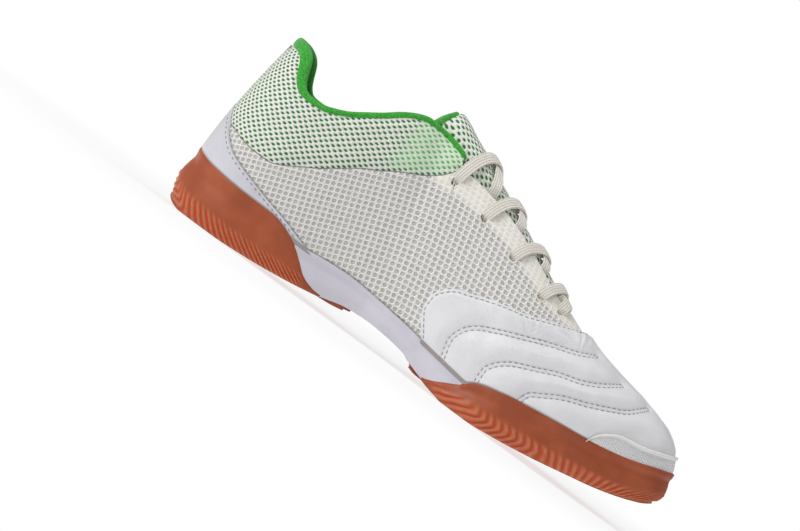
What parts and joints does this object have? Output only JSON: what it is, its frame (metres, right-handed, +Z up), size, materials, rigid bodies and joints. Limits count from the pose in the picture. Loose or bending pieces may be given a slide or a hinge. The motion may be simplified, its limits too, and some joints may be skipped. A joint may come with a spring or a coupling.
{
  "type": "indoor soccer shoe",
  "caption": "Low left indoor soccer shoe with a gum rubber cup sole, pale mesh upper over a green lining, quilted white leather vamp and flat cream laces",
  "frame": {"origin": "Under the middle of the shoe, on the floor it stands on", "axes": "X runs from heel to toe, Y to the wearer's left, Z up. Metres."},
  "size_m": [0.2928, 0.105, 0.1213],
  "materials": {
    "gum_rubber": "matte, scuffed",
    "midsole_foam": "satin foam skin",
    "lining_fabric": "knitted",
    "upper_mesh": "open mesh",
    "binding_fabric": "smooth knit",
    "white_leather": "grained, creased",
    "smooth_film": "satin",
    "white_rubber": "finely ribbed",
    "lace_fabric": "flat weave"
  },
  "bodies": {
    "root": {"outsole": "gum_rubber", "midsole": "midsole_foam", "insole": "lining_fabric", "upper": "upper_mesh", "tongue": "upper_mesh", "collar_binding": "binding_fabric", "vamp": "white_leather", "heel_counter": "smooth_film", "toe_bumper": "white_rubber", "laces": "lace_fabric"}
  },
  "joints": []
}
